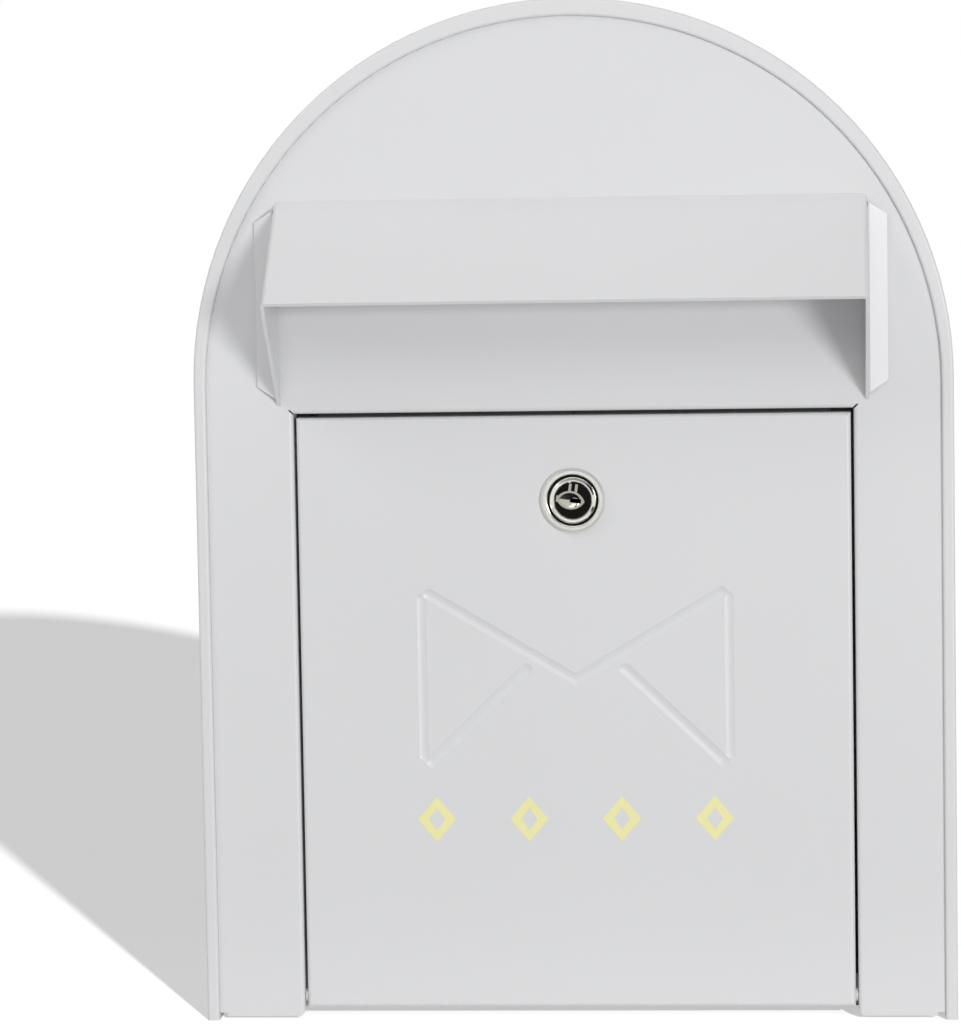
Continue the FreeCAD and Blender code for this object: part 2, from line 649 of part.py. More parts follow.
def hinge_bush():
    """Right-hand nylon bush, snapped into the door's side; its collar spaces the door off the leg."""
    def at(x):
        return V(x, PIN_Y, PIN_Z)

    inner = HALF_DOOR - DOOR_SHEET
    collar = BUSH_RADIUS + BUSH_COLLAR_STEP
    bush = cylinder(BUSH_RADIUS, at(HALF_DOOR - BUSH_LENGTH), at(HALF_DOOR))
    bush = bush.fuse(cylinder(collar, at(HALF_DOOR), at(HALF_OPENING - BUSH_COLLAR_GAP)))
    bush = bush.fuse(cylinder(collar, at(inner - BUSH_LIP), at(inner)))
    bore = cylinder(PIN_RADIUS + PIN_FIT, at(HALF_DOOR - BUSH_LENGTH - OVERSHOOT), at(HALF_OPENING))
    return bush.cut(bore)


def lock_housing():
    """Chrome lock body: bevelled flange with a groove on the door's face, and a flatted barrel behind."""
    front = -LOCK_FLANGE_HEIGHT
    groove = front + LOCK_GROOVE_DEPTH
    shoulder = PLUG_FRONT + PLUG_HEAD_LENGTH + PLUG_FIT
    rim = LOCK_GROOVE_OUTER + LOCK_RIM_WIDTH
    flange = rim + LOCK_FLANGE_BEVEL
    body = turned([
        (LOCK_BORE, front + LOCK_EDGE),
        (LOCK_BORE + LOCK_EDGE, front),
        (LOCK_BARREL_RADIUS - LOCK_BARREL_BEVEL_WIDTH, front),
        (LOCK_BARREL_RADIUS, front + LOCK_BARREL_BEVEL_DEPTH),
        (LOCK_BARREL_RADIUS, groove),
        (LOCK_GROOVE_OUTER, groove),
        (LOCK_GROOVE_OUTER, front + LOCK_EDGE),
        (LOCK_GROOVE_OUTER + LOCK_EDGE, front),
        (rim, front),
        (flange, front / 2),
        (flange, 0),
        (LOCK_BARREL_RADIUS, 0),
        (LOCK_BARREL_RADIUS, LOCK_BARREL_END),
        (LOCK_STEM_BORE, LOCK_BARREL_END),
        (LOCK_STEM_BORE, shoulder),
        (LOCK_BORE, shoulder),
    ])
    flat = LOCK_BARREL_RADIUS - LOCK_FLAT_DEPTH
    for z in (LOCK_Z + flat, LOCK_Z - flat - flange):
        body = body.cut(box(-flange, flange, FACE_Y, CAM_Y + OVERSHOOT, z, z + flange))
    return body


def lock_ring():
    """Black plastic ring in the groove of the lock's flange."""
    back = LOCK_GROOVE_DEPTH - LOCK_FLANGE_HEIGHT
    front = back - RING_THICKNESS
    inner = LOCK_BARREL_RADIUS + RING_GAP
    outer = LOCK_GROOVE_OUTER - RING_GAP
    return turned([(inner, front), (outer, front), (outer, back), (inner, back)])


def lock_washer():
    """Toothed washer between the door's back and the nut."""
    front = DOOR_SHEET
    back = front + WASHER_THICKNESS
    inner = LOCK_BARREL_RADIUS + LOCK_HOLE_GAP
    outer = inner + WASHER_WIDTH
    washer = turned([(inner, front), (outer, front), (outer, back), (inner, back)])
    half_gap = math.pi * outer / WASHER_TEETH / 2
    notch = box(outer - WASHER_TOOTH_DEPTH, outer + OVERSHOOT, FACE_Y, FACE_Y + back + OVERSHOOT,
                LOCK_Z - half_gap, LOCK_Z + half_gap)
    for step in range(WASHER_TEETH):
        washer = washer.cut(notch.rotated(V(0, 0, LOCK_Z), Y_AXIS, step * 360 / WASHER_TEETH))
    return washer


def lock_nut():
    """Hexagon nut that clamps the lock in the door."""
    start = FACE_Y + DOOR_SHEET + WASHER_THICKNESS
    end = start + NUT_THICKNESS
    corner = NUT_ACROSS_FLATS / 2 / math.cos(math.pi / 6)
    blank = cylinder(corner, V(0, start, LOCK_Z), V(0, end, LOCK_Z))
    blank = blank.makeChamfer(NUT_BEVEL, [edge for edge in blank.Edges if not runs_along(edge, Y_AXIS)])
    bore = cylinder(LOCK_BARREL_RADIUS, V(0, start, LOCK_Z), V(0, end, LOCK_Z))
    return hexagon(NUT_ACROSS_FLATS, start, NUT_THICKNESS).common(blank).cut(bore)


def lock_plug():
    """Turning plug: black head with the keyway, stem through the barrel, square tang for the cam."""
    neck = PLUG_FRONT + PLUG_HEAD_LENGTH
    end = LOCK_BARREL_END + CAM_GAP
    plug = turned([
        (0, PLUG_FRONT),
        (PLUG_RADIUS, PLUG_FRONT),
        (PLUG_RADIUS, neck),
        (PLUG_STEM_RADIUS, neck),
        (PLUG_STEM_RADIUS, end),
        (0, end),
    ])
    half = TANG_SIDE / 2
    tang = box(-half, half, CAM_Y, CAM_Y + CAM_THICKNESS - TANG_FIT, LOCK_Z - half, LOCK_Z + half)
    thread = cylinder(SCREW_RADIUS, V(0, CAM_SCREW_Y - SCREW_LENGTH, LOCK_Z), V(0, CAM_SCREW_Y, LOCK_Z))
    return plug.fuse(tang).removeSplitter().cut(thread).cut(keyway(FACE_Y + PLUG_FRONT, KEYWAY_DEPTH))


def keyway(front, depth):
    """Slot for a flat key, right of the middle, from just in front of the given face to a depth behind it."""
    low, high = KEYWAY_SHIFT - KEYWAY_LENGTH / 2, KEYWAY_SHIFT + KEYWAY_LENGTH / 2
    width = KEYWAY_WIDTH / 2
    slot = box(low, high, front - OVERSHOOT, front + depth, LOCK_Z - width, LOCK_Z + width)
    return slot.rotated(V(0, 0, LOCK_Z), Y_AXIS, KEYWAY_TURN)


def keyway_shield():
    """Chrome plate on the plug's face: a pointed oval that dips to the keyway, with a foot and two ears."""
    y1 = FACE_Y + PLUG_FRONT
    y0 = y1 - SHIELD_THICKNESS
    middle = (SHIELD_RIGHT - SHIELD_LEFT) / 2

    def oval(centre, half, rise, y):
        left, right = V(centre - half, y, LOCK_Z), V(centre + half, y, LOCK_Z)
        return wire_of([left, [V(centre, y, LOCK_Z + rise), right], [V(centre, y, LOCK_Z - rise), left]])

    half, rise = (SHIELD_LEFT + SHIELD_RIGHT) / 2, SHIELD_WIDTH / 2
    foot_half = SHIELD_FOOT_WIDTH / 2
    shield = Part.Face(oval(middle, half, rise, y0)).extrude(V(0, SHIELD_THICKNESS, 0))
    shield = shield.fuse(box(-SHIELD_LEFT, SHIELD_FOOT_LENGTH - SHIELD_LEFT, y0, y1,
                             LOCK_Z - foot_half, LOCK_Z + foot_half))
    for side in (-1, 1):
        ear_x = SHIELD_EAR_SHIFT + side * SHIELD_EAR_SPREAD / 2
        shield = shield.fuse(box(ear_x - SHIELD_EAR_WIDTH / 2, ear_x + SHIELD_EAR_WIDTH / 2, y0, y1,
                                 LOCK_Z, LOCK_Z + SHIELD_EAR_TOP))
    brim = oval(middle, half - SHIELD_BORDER * half / rise, rise - SHIELD_BORDER, y0)
    throat = oval(KEYWAY_SHIFT - KEYWAY_BORDER, KEYWAY_LENGTH / 2, KEYWAY_WIDTH / 2 + KEYWAY_BORDER,
                  y0 + SHIELD_DISH)
    dish = Part.makeLoft([brim, throat], True, True)
    shield = shield.removeSplitter().cut(dish).rotated(V(0, 0, LOCK_Z), Y_AXIS, KEYWAY_TURN)
    return shield.cut(keyway(y0, SHIELD_THICKNESS + OVERSHOOT))


def lock_cam():
    """Flat cam on the plug's tang. At rest it points sideways, clear of the keeper."""
    end = CAM_Y + CAM_THICKNESS
    half = CAM_WIDTH / 2
    arm = box(-CAM_LENGTH, 0, CAM_Y, end, LOCK_Z - half, LOCK_Z + half)
    tip = [edge for edge in arm.Edges if runs_along(edge, Y_AXIS) and edge_lies(edge, "x", -CAM_LENGTH)]
    arm = arm.makeFillet(CAM_TIP_RADIUS, tip)
    head = cylinder(half, V(0, CAM_Y, LOCK_Z), V(0, end, LOCK_Z))
    hole = TANG_SIDE / 2 + TANG_FIT
    square = box(-hole, hole, CAM_Y - OVERSHOOT, end + OVERSHOOT, LOCK_Z - hole, LOCK_Z + hole)
    return arm.fuse(head).removeSplitter().cut(square)


def cam_washer():
    """Plain washer over the cam."""
    washer = cylinder(CAM_WASHER_RADIUS, V(0, CAM_Y + CAM_THICKNESS, LOCK_Z), V(0, CAM_SCREW_Y, LOCK_Z))
    return washer.cut(cylinder(SCREW_RADIUS, V(0, CAM_Y, LOCK_Z), V(0, CAM_SCREW_Y, LOCK_Z)))


def cam_screw():
    """Pan head screw that holds washer and cam on the plug."""
    top = CAM_SCREW_Y + SCREW_HEAD_HEIGHT
    head = cylinder(SCREW_HEAD_RADIUS, V(0, CAM_SCREW_Y, LOCK_Z), V(0, top, LOCK_Z))
    head = round_edges(head, SCREW_HEAD_HEIGHT / 2, lambda edge: edge_lies(edge, "y", top))
    shank = cylinder(SCREW_RADIUS, V(0, CAM_SCREW_Y - SCREW_LENGTH, LOCK_Z), V(0, CAM_SCREW_Y, LOCK_Z))
    drive = hexagon(SCREW_DRIVE, top - SCREW_DRIVE_DEPTH, OVERSHOOT)
    return shank.fuse(head).removeSplitter().cut(drive)


def keeper():
    """Angle strip under the opening's top edge: its lip stops the door, and the cam turns up behind it."""
    half = HALF_KEEPER
    start = V(-half, KEEPER_LIP_Y + KEEPER_BEND, OPENING_TOP_Z)
    section = bend_section(start, -Y_AXIS, -Z_AXIS, KEEPER_DROP, KEEPER_SHEET, KEEPER_BEND)
    lip = Part.Face(section).extrude(V(2 * half, 0, 0))
    land = box(-half, half, start.y, FACE_Y + OPENING_TOP_FLANGE, OPENING_TOP_Z - KEEPER_SHEET, OPENING_TOP_Z)
    return lip.fuse(land).removeSplitter()


def door_buffers():
    """Two rubber strips, end to end on the keeper's lip, just behind the door's top edge."""
    front = FACE_Y + DOOR_DEPTH + BUFFER_GAP
    low, high = OPENING_TOP_Z - KEEPER_DROP, OPENING_TOP_Z - BUFFER_TOP_GAP
    strip = box(BUFFER_JOINT / 2, HALF_KEEPER, front, KEEPER_LIP_Y, low, high)
    strip = strip.makeChamfer(BUFFER_EDGE, [edge for edge in strip.Edges if edge_lies(edge, "y", front)])
    return Part.makeCompound([strip, mirrored(strip)])


def main():
    """Builds every piece and saves each one under its node's name."""
    os.makedirs("parts", exist_ok=True)
    pin = hinge_pin()
    bush = hinge_bush()
    pieces = {
        "casing_shell": shell(),
        "front_panel": front_panel(),
        "back_plate": back_plate(),
        "floor_tray": floor_tray(),
        "rain_hood": rain_hood(),
        "letter_chute": letter_chute(),
        "keeper": keeper(),
        "door_buffers": door_buffers(),
        "hinge_pin_right": pin,
        "hinge_pin_left": mirrored(pin),
        "door_panel": door_panel(),
        "hinge_bush_right": bush,
        "hinge_bush_left": mirrored(bush),
        "lock_housing": lock_housing(),
        "lock_ring": lock_ring(),
        "lock_washer": lock_washer(),
        "lock_nut": lock_nut(),
        "lock_plug": lock_plug(),
        "keyway_shield": keyway_shield(),
        "lock_cam": lock_cam(),
        "cam_washer": cam_washer(),
        "cam_screw": cam_screw(),
    }
    for node, shape in pieces.items():
        print(f"{node:18s} solids {len(shape.Solids)} valid {shape.isValid()} volume {shape.Volume:.0f}")
        shape.exportStep(os.path.join("parts", node + ".step"))


main()
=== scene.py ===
import bpy
import math
from mathutils import Matrix, Vector


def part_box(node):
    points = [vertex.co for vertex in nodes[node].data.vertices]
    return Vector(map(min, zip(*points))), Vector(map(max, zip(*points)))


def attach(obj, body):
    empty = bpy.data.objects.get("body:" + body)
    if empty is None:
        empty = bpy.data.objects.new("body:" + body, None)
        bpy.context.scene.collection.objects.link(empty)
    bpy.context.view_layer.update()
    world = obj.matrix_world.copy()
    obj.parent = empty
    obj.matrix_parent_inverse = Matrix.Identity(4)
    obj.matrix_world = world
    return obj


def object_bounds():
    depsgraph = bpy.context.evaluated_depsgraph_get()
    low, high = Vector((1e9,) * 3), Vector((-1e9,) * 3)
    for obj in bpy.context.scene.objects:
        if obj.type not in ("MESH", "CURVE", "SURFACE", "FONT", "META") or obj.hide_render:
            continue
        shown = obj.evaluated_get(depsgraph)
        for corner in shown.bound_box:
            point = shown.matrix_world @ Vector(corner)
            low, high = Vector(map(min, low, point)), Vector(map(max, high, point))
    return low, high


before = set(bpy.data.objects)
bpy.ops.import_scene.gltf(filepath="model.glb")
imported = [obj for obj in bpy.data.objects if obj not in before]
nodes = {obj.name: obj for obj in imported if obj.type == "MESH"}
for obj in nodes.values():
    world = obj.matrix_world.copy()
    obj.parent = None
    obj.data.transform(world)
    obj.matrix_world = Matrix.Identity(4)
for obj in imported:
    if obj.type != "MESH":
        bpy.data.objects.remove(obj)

cad_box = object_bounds()

# Casing sheet. The real one is a strip of 1 mm steel bent over the arch, with its front edge folded in
# as a flat rim. All the sheet work has the same smooth, fairly glossy powder coat in a pale cool
# white, which flows out to a very fine orange peel as it cures.
COAT_WHITE = (0.700, 0.702, 0.712)
COAT_INDEX = 1.5
COAT_TOP_LAYER = 0.06
COAT_TOP_ROUGHNESS = 0.25
OUTSIDE_ROUGHNESS = 0.40
CLOUD_SIZE = 0.16
CLOUD_SHADES = (0.985, 1.015)
CLOUD_GLOSS = 0.04
PEEL_SIZE = 0.0016
PEEL_STRENGTH = 0.5
PEEL_HEIGHT = 0.000012


def new_finish(name):
    """New material, with its node tree and its shader."""
    material = bpy.data.materials.new(name)
    material.use_nodes = True
    return material, material.node_tree, material.node_tree.nodes["Principled BSDF"]


def noise(tree, size, detail):
    """Noise of a given grain size in metres, fixed to the piece it is on."""
    place = tree.nodes.new("ShaderNodeTexCoord")
    texture = tree.nodes.new("ShaderNodeTexNoise")
    texture.inputs["Scale"].default_value = 1 / size
    texture.inputs["Detail"].default_value = detail
    tree.links.new(place.outputs["Object"], texture.inputs["Vector"])
    return texture.outputs["Fac"]


def vary_shade(tree, shader, pattern, colour, shades):
    """Lets the colour run between two shades of itself."""
    mix = tree.nodes.new("ShaderNodeMix")
    mix.data_type = "RGBA"
    for socket, shade in zip((6, 7), shades):
        mix.inputs[socket].default_value = (*(min(1.0, shade * part) for part in colour), 1)
    tree.links.new(pattern, mix.inputs[0])
    tree.links.new(mix.outputs[2], shader.inputs["Base Color"])


def vary_gloss(tree, shader, pattern, low, high):
    """Lets the roughness run between two values."""
    gloss = tree.nodes.new("ShaderNodeMapRange")
    gloss.inputs["To Min"].default_value = low
    gloss.inputs["To Max"].default_value = high
    tree.links.new(pattern, gloss.inputs["Value"])
    tree.links.new(gloss.outputs["Result"], shader.inputs["Roughness"])


def add_bump(tree, shader, pattern, strength, height):
    """Fine relief, too small to be part of the mesh."""
    bump = tree.nodes.new("ShaderNodeBump")
    bump.inputs["Strength"].default_value = strength
    bump.inputs["Distance"].default_value = height
    tree.links.new(pattern, bump.inputs["Height"])
    tree.links.new(bump.outputs["Normal"], shader.inputs["Normal"])


def powder_coat(name, colour, roughness):
    """Powder coat with orange peel, and slight clouds in its gloss and shade."""
    material, tree, shader = new_finish(name)
    shader.inputs["IOR"].default_value = COAT_INDEX
    shader.inputs["Coat Weight"].default_value = COAT_TOP_LAYER
    shader.inputs["Coat Roughness"].default_value = COAT_TOP_ROUGHNESS
    clouds = noise(tree, CLOUD_SIZE, 3.0)
    vary_shade(tree, shader, clouds, colour, CLOUD_SHADES)
    vary_gloss(tree, shader, clouds, roughness - CLOUD_GLOSS, roughness + CLOUD_GLOSS)
    add_bump(tree, shader, noise(tree, PEEL_SIZE, 2.0), PEEL_STRENGTH, PEEL_HEIGHT)
    return material


def finish_node(node, material):
    """Gives a CAD node its finish, in place of the plain one it came with."""
    mesh = nodes[node].data
    mesh.materials.clear()
    mesh.materials.append(material)


outside_coat = powder_coat("outside_powder_coat", COAT_WHITE, OUTSIDE_ROUGHNESS)
finish_node("casing_shell", outside_coat)

# Back plate and floor tray. Both are 1 mm sheet, with their edges bent up inside the casing, and get
# a thinner and duller coat, because the spray reaches less of them.
INSIDE_SHADE = 0.95
INSIDE_ROUGHNESS = 0.48
inside_white = tuple(INSIDE_SHADE * part for part in COAT_WHITE)
inside_coat = powder_coat("inside_powder_coat", inside_white, INSIDE_ROUGHNESS)
for node in ("back_plate", "floor_tray"):
    finish_node(node, inside_coat)

# Front panel, hood, chute and keeper. The panel is cut from 1.2 mm sheet, welded into the casing's rim,
# and bent back round the door opening. The hood is folded from one piece, and chute and keeper are spot
# welded behind the panel.
for node in ("front_panel", "rain_hood"):
    finish_node(node, outside_coat)
for node in ("letter_chute", "keeper"):
    finish_node(node, inside_coat)

# Spot welds. Each leaves a round mark in the sheet, which the powder coat softens: along the back
# plate's and the floor tray's side flanges, and on the keeper's land over the door.
WELD_RADIUS = 0.0024
WELD_RISE = 0.00018
WELDS_PER_ROW = 5
WELDS_PER_TRAY_SIDE = 3
KEEPER_SHEET = 0.0015
KEEPER_END_INSET = 0.012
KEEPER_EDGE_INSET = 0.003
FLANGE_SHEET = 0.001
FLANGE_INSET = 0.006
PLATE_END_INSET = 0.030
PLATE_LAST_HEIGHT = 0.1
TRAY_FRONT_INSET = 0.018
TRAY_BACK_INSET = 0.030


def pattern_tree(name, sizes):
    """New Geometry Nodes tree with a geometry input and output, and a named input for each size."""
    tree = bpy.data.node_groups.new(name, "GeometryNodeTree")
    tree.interface.new_socket("Geometry", in_out="OUTPUT", socket_type="NodeSocketGeometry")
    tree.interface.new_socket("Geometry", in_out="INPUT", socket_type="NodeSocketGeometry")
    for size, kind in sizes.items():
        tree.interface.new_socket(size, in_out="INPUT", socket_type="NodeSocket" + kind)
    return tree, tree.nodes.new("NodeGroupInput"), tree.nodes.new("NodeGroupOutput")


def end_tree(tree, pattern, finish, output):
    """Ends a tree: the instances become real, and the finish is set on them."""
    realize = tree.nodes.new("GeometryNodeRealizeInstances")
    coat = tree.nodes.new("GeometryNodeSetMaterial")
    coat.inputs["Material"].default_value = finish
    tree.links.new(pattern, realize.inputs["Geometry"])
    tree.links.new(realize.outputs["Geometry"], coat.inputs["Geometry"])
    tree.links.new(coat.outputs["Geometry"], output.inputs["Geometry"])


def pattern_piece(name, tree, values, body, carrier=None):
    """Runs a tree with its sizes, keeps the result as a plain mesh, and lets it ride on a body."""
    piece = bpy.data.objects.new(name, carrier or bpy.data.meshes.new(name + "_carrier"))
    bpy.context.scene.collection.objects.link(piece)
    pattern = piece.modifiers.new("pattern", "NODES")
    pattern.node_group = tree
    for item in tree.interface.items_tree:
        if item.in_out == "INPUT" and item.name in values:
            pattern[item.identifier] = values[item.name]
    depsgraph = bpy.context.evaluated_depsgraph_get()
    mesh = bpy.data.meshes.new_from_object(piece.evaluated_get(depsgraph), depsgraph=depsgraph)
    piece.modifiers.clear()
    piece.data = mesh
    mesh.name = name
    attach(piece, body)


def spread(low, high, count):
    """Evenly spaced places from one value to another."""
    return [low + (high - low) * step / (count - 1) for step in range(count)]


plate_low, plate_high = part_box("back_plate")
tray_low, tray_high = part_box("floor_tray")
keeper_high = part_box("keeper")[1]
mark_on_flange = (WELD_RISE, WELD_RADIUS, WELD_RADIUS)
mark_on_keeper = (WELD_RADIUS, WELD_RADIUS, WELD_RISE)
weld_spots = []
weld_radii = []
keeper_x = keeper_high[0] - KEEPER_END_INSET
for x in spread(-keeper_x, keeper_x, WELDS_PER_ROW):
    weld_spots.append((x, keeper_high[1] - KEEPER_EDGE_INSET, keeper_high[2] - KEEPER_SHEET))
    weld_radii.append(mark_on_keeper)
for side in (-1, 1):
    plate_x = side * (plate_high[0] - FLANGE_SHEET)
    for z in spread(plate_low[2] + PLATE_END_INSET, PLATE_LAST_HEIGHT, WELDS_PER_ROW):
        weld_spots.append((plate_x, plate_low[1] + FLANGE_INSET, z))
        weld_radii.append(mark_on_flange)
    tray_x = side * (tray_high[0] - FLANGE_SHEET)
    tray_ends = (tray_low[1] + TRAY_FRONT_INSET, tray_high[1] - TRAY_BACK_INSET)
    for y in spread(*tray_ends, WELDS_PER_TRAY_SIDE):
        weld_spots.append((tray_x, y, tray_high[2] - FLANGE_INSET))
        weld_radii.append(mark_on_flange)

weld_points = bpy.data.meshes.new("weld_points")
weld_points.from_pydata(weld_spots, [], [])
radii = weld_points.attributes.new("mark_radii", "FLOAT_VECTOR", "POINT")
for spot, size in zip(radii.data, weld_radii):
    spot.vector = size

tree, sizes, result = pattern_tree("weld_marks", {"Segments": "Int", "Rings": "Int"})
dome = tree.nodes.new("GeometryNodeMeshUVSphere")
dome.inputs["Radius"].default_value = 1.0
tree.links.new(sizes.outputs["Segments"], dome.inputs["Segments"])
tree.links.new(sizes.outputs["Rings"], dome.inputs["Rings"])
mark_radii = tree.nodes.new("GeometryNodeInputNamedAttribute")
mark_radii.data_type = "FLOAT_VECTOR"
mark_radii.inputs["Name"].default_value = "mark_radii"
marks = tree.nodes.new("GeometryNodeInstanceOnPoints")
tree.links.new(sizes.outputs["Geometry"], marks.inputs["Points"])
tree.links.new(dome.outputs["Mesh"], marks.inputs["Instance"])
tree.links.new(mark_radii.outputs["Attribute"], marks.inputs["Scale"])
end_tree(tree, marks.outputs["Instances"], inside_coat, result)
pattern_piece("weld_marks", tree, {"Segments": 20, "Rings": 8}, "casing", weld_points)

# Door. One sheet, bent back on its four sides, with an envelope figure pressed in by less than a
# millimetre. Under the figure stands a row of four plain lozenges, printed in pale yellow.
finish_node("door_panel", outside_coat)
LOZENGE_COUNT = 4
LOZENGE_PITCH = 0.0384
LOZENGE_WIDTH = 0.0112
LOZENGE_HEIGHT = 0.0142
LOZENGE_BAND = 0.0046
LOZENGE_DEPTH = 0.00012
ROW_MIDDLE = -0.0009
ROW_HEIGHT = -0.0506
LOZENGE_YELLOW = (0.850, 0.815, 0.390)
PRINT_ROUGHNESS = 0.42
UPRIGHT = (math.radians(90), 0, 0)

tree, sizes, result = pattern_tree("lozenge_row", {
    "Count": "Int", "First": "Vector", "Step": "Vector", "Width": "Float", "Height": "Float",
    "Band": "Float", "Depth": "Float"})
half_height = tree.nodes.new("ShaderNodeMath")
half_height.operation = "MULTIPLY"
half_height.inputs[1].default_value = 0.5
tree.links.new(sizes.outputs["Height"], half_height.inputs[0])
lozenge = tree.nodes.new("GeometryNodeCurvePrimitiveQuadrilateral")
lozenge.mode = "KITE"
tree.links.new(sizes.outputs["Width"], lozenge.inputs["Width"])
tree.links.new(half_height.outputs[0], lozenge.inputs["Bottom Height"])
tree.links.new(half_height.outputs[0], lozenge.inputs["Top Height"])
band = tree.nodes.new("GeometryNodeCurvePrimitiveQuadrilateral")
tree.links.new(sizes.outputs["Band"], band.inputs["Width"])
tree.links.new(sizes.outputs["Depth"], band.inputs["Height"])
outline = tree.nodes.new("GeometryNodeCurveToMesh")
tree.links.new(lozenge.outputs["Curve"], outline.inputs["Curve"])
tree.links.new(band.outputs["Curve"], outline.inputs["Profile Curve"])
flat = tree.nodes.new("GeometryNodeSetShadeSmooth")
flat.inputs["Shade Smooth"].default_value = False
tree.links.new(outline.outputs["Mesh"], flat.inputs["Geometry"])
upright = tree.nodes.new("GeometryNodeTransform")
upright.inputs["Rotation"].default_value = UPRIGHT
tree.links.new(flat.outputs["Geometry"], upright.inputs["Geometry"])
row = tree.nodes.new("GeometryNodeMeshLine")
tree.links.new(sizes.outputs["Count"], row.inputs["Count"])
tree.links.new(sizes.outputs["First"], row.inputs["Start Location"])
tree.links.new(sizes.outputs["Step"], row.inputs["Offset"])
lozenges = tree.nodes.new("GeometryNodeInstanceOnPoints")
tree.links.new(row.outputs["Mesh"], lozenges.inputs["Points"])
tree.links.new(upright.outputs["Geometry"], lozenges.inputs["Instance"])
yellow_print = powder_coat("pale_yellow_print", LOZENGE_YELLOW, PRINT_ROUGHNESS)
end_tree(tree, lozenges.outputs["Instances"], yellow_print, result)
door_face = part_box("door_panel")[0][1]
first_x = ROW_MIDDLE - LOZENGE_PITCH * (LOZENGE_COUNT - 1) / 2
pattern_piece("lozenges", tree, {
    "Count": LOZENGE_COUNT, "First": (first_x, door_face, ROW_HEIGHT), "Step": (LOZENGE_PITCH, 0.0, 0.0),
    "Width": LOZENGE_WIDTH, "Height": LOZENGE_HEIGHT, "Band": LOZENGE_BAND, "Depth": LOZENGE_DEPTH,
}, "door")

# Hinge pins and bushes. The pins are zinc plated wire, staked in the panel's edges, and turn in
# snap-in bushes of plain nylon.
ZINC_GREY = (0.52, 0.53, 0.54)
ZINC_ROUGHNESS = 0.36
ZINC_GLOSS = 0.08
ZINC_SHADES = (0.82, 1.15)
FLECK_SIZE = 1 / 900
NYLON_WHITE = (0.60, 0.60, 0.585)
NYLON_ROUGHNESS = 0.45
NYLON_GRAIN = 0.0006
MOULDED_SHADES = (0.9, 1.1)
GRAIN_STRENGTH = 0.4
GRAIN_HEIGHT = 0.00003
PLAIN_SHINE = 0.5


def zinc_plate(name, colour, roughness):
    """Zinc plating: fine crystal flecks that vary shade and gloss."""
    material, tree, shader = new_finish(name)
    shader.inputs["Metallic"].default_value = 1.0
    flecks = noise(tree, FLECK_SIZE, 4.0)
    vary_shade(tree, shader, flecks, colour, ZINC_SHADES)
    vary_gloss(tree, shader, flecks, roughness - ZINC_GLOSS, roughness + ZINC_GLOSS)
    return material


def moulded(name, colour, roughness, grain, shine=PLAIN_SHINE):
    """Moulded plastic or rubber with a fine grain."""
    material, tree, shader = new_finish(name)
    shader.inputs["Roughness"].default_value = roughness
    shader.inputs["Specular IOR Level"].default_value = shine
    spots = noise(tree, grain, 3.0)
    vary_shade(tree, shader, spots, colour, MOULDED_SHADES)
    add_bump(tree, shader, spots, GRAIN_STRENGTH, GRAIN_HEIGHT)
    return material


zinc = zinc_plate("zinc_plated_steel", ZINC_GREY, ZINC_ROUGHNESS)
nylon = moulded("natural_nylon", NYLON_WHITE, NYLON_ROUGHNESS, NYLON_GRAIN)
for side in ("left", "right"):
    finish_node("hinge_pin_" + side, zinc)
    finish_node("hinge_bush_" + side, nylon)

# Door buffers. Two strips of rubber, end to end on the keeper's lip, that the closed door nearly
# touches. Their black is painted shade, put there so that the gap over the door looks dark.
# Black rubber as painted shade in the gap over the door.
BUFFER_BLACK_PAINTED_SHADE = (0.03, 0.03, 0.03)
RUBBER_ROUGHNESS = 0.75
RUBBER_GRAIN = 0.0005
finish_node("door_buffers", moulded("buffer_rubber", BUFFER_BLACK_PAINTED_SHADE, RUBBER_ROUGHNESS, RUBBER_GRAIN))

# Lock. The housing is die-cast zinc, polished and chrome plated, and the keyway's plate is pressed steel
# with warmer plating, whose darker shade is painted dark reflection. The ring and the plug's face are
# black. Behind the door, washer, nut, cam and screw are zinc plated.
CHROME_BRIGHT = (0.79, 0.78, 0.74)
# Warm nickel, made darker as a painted dark reflection.
NICKEL_WARM_PAINTED_DARK_REFLECTION = (0.46, 0.44, 0.38)
POLISH_MARK_SIZE = 1 / 420
POLISH_ROUGHNESS = (0.10, 0.24)
LOCK_BLACK = (0.005, 0.005, 0.0055)
LOCK_GRAIN = 0.0005


def chrome_plate(name, colour):
    """Polished plating with faint wipe marks in its gloss."""
    material, tree, shader = new_finish(name)
    shader.inputs["Metallic"].default_value = 1.0
    shader.inputs["Base Color"].default_value = (*colour, 1)
    vary_gloss(tree, shader, noise(tree, POLISH_MARK_SIZE, 3.0), *POLISH_ROUGHNESS)
    return material


chrome = chrome_plate("chrome_plated_zinc", CHROME_BRIGHT)
finish_node("lock_housing", chrome)
finish_node("keyway_shield", chrome_plate("nickel_plated_steel_painted_reflection", NICKEL_WARM_PAINTED_DARK_REFLECTION))
finish_node("lock_ring", moulded("ring_plastic", LOCK_BLACK, roughness=0.4, grain=LOCK_GRAIN, shine=0.06))
finish_node("lock_plug", moulded("plug_black_coat", LOCK_BLACK, roughness=0.3, grain=LOCK_GRAIN, shine=0.07))
for node in ("lock_washer", "lock_nut", "lock_cam", "cam_washer", "cam_screw"):
    finish_node(node, zinc)

# Barrel thread. The barrel's round sides are threaded for the nut, and its two flats are plain, so each
# turn of the thread shows as an arc left and right, between the nut and the barrel's end.
BARREL_RADIUS = 0.0095
BARREL_FLAT = 0.0085
THREAD_PITCH = 0.001
THREAD_RIDGE = 0.00038
THREAD_SINK = THREAD_RIDGE / 4
HALF_ROUND = (0, math.radians(180), 0)
barrel_low, barrel_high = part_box("lock_housing")
nut_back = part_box("lock_nut")[1][1]
lock_z = (barrel_low[2] + barrel_high[2]) / 2
thread_turns = int((barrel_high[1] - nut_back) / THREAD_PITCH)
thread_half_angle = math.asin((BARREL_FLAT - THREAD_RIDGE) / BARREL_RADIUS)

